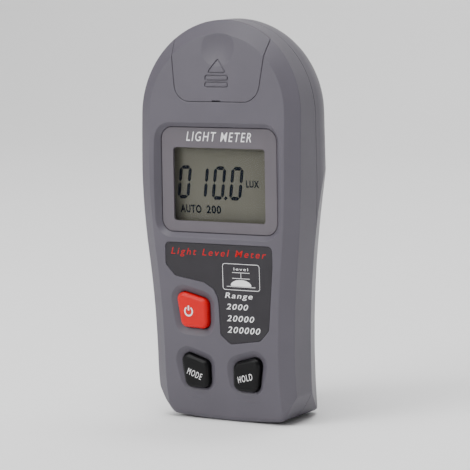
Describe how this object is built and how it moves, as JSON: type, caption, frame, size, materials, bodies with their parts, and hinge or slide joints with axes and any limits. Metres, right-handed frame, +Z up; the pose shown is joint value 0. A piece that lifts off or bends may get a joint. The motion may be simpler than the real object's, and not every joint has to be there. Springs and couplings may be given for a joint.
{
  "type": "handheld light meter",
  "caption": "Handheld digital light meter with a slide-off sensor cap, segment display, push keys, two-shell housing with grip scoops and a battery bay behind a hinged door.",
  "frame": {"origin": "under the middle of the meter's box, at the level of its lower edge", "axes": "+Z up the meter towards the sensor, display and keys face -Y, +X to the reader's right"},
  "size_m": [0.067, 0.032, 0.145],
  "materials": {
    "housing": "satin moulded grey",
    "display_plate": "fine matt print",
    "clear_window": "clear",
    "label": "printed film",
    "red_key": "soft gloss",
    "black_key": "satin",
    "plunger": "moulded",
    "switch_body": "moulded",
    "lcd": "grey-green segment display",
    "reflector": "satin foil",
    "holder": "moulded",
    "elastomer": "striped",
    "circuit_board": "solder mask",
    "chip": "moulded",
    "can": "drawn can",
    "screw": "zinc plated",
    "diffuser": "opal",
    "seal": "matt",
    "filter": "tinted",
    "silicon": "polished",
    "lead": "insulated",
    "cell": "plain wrap",
    "spring_steel": "nickel plated",
    "foam": "foam",
    "rear_label": "plain silver film"
  },
  "bodies": {
    "housing": {"front_shell": "housing", "rear_shell": "housing", "display_plate": "display_plate", "display_window": "clear_window", "label_panel": "label", "tact_switches": "switch_body", "lcd_glass": "lcd", "lcd_reflector": "reflector", "lcd_holder": "holder", "zebra_strips": "elastomer", "main_board": "circuit_board", "processor_chip": "chip", "board_chips": "chip", "crystal": "can", "capacitors": "chip", "board_screws": "screw", "sensor_dome": "diffuser", "sensor_ring": "seal", "colour_filter": "filter", "photodiode": "silicon", "sensor_board": "circuit_board", "sensor_leads": "lead", "battery_1": "cell", "battery_2": "cell", "battery_3": "cell", "battery_springs": "spring_steel", "battery_contacts": "spring_steel", "battery_leads": "lead", "housing_screws": "screw", "rear_label": "rear_label"},
    "cap": {"sensor_cap": "housing"},
    "door": {"battery_door": "housing", "battery_pad": "foam"},
    "power_key": {"power_button": "red_key", "power_plunger": "plunger"},
    "mode_key": {"mode_button": "black_key", "mode_plunger": "plunger"},
    "hold_key": {"hold_button": "black_key", "hold_plunger": "plunger"}
  },
  "joints": [
    {"name": "cap_slide", "type": "slide", "parent": "housing", "child": "cap", "axis": [0, 0, 1], "range_m": [0, 0.035]},
    {"name": "door_hinge", "type": "hinge", "parent": "housing", "child": "door", "pos_m": [0, 0.0151, 0.0151], "axis": [-1, 0, 0], "range_deg": [0, 70]},
    {"name": "power_press", "type": "slide", "parent": "housing", "child": "power_key", "axis": [0, 1, 0], "range_m": [0, 0.0005], "stiffness_N_per_m": 800, "springref_m": -0.0005},
    {"name": "mode_press", "type": "slide", "parent": "housing", "child": "mode_key", "axis": [0, 1, 0], "range_m": [0, 0.0005], "stiffness_N_per_m": 800, "springref_m": -0.0005},
    {"name": "hold_press", "type": "slide", "parent": "housing", "child": "hold_key", "axis": [0, 1, 0], "range_m": [0, 0.0005], "stiffness_N_per_m": 800, "springref_m": -0.0005}
  ]
}
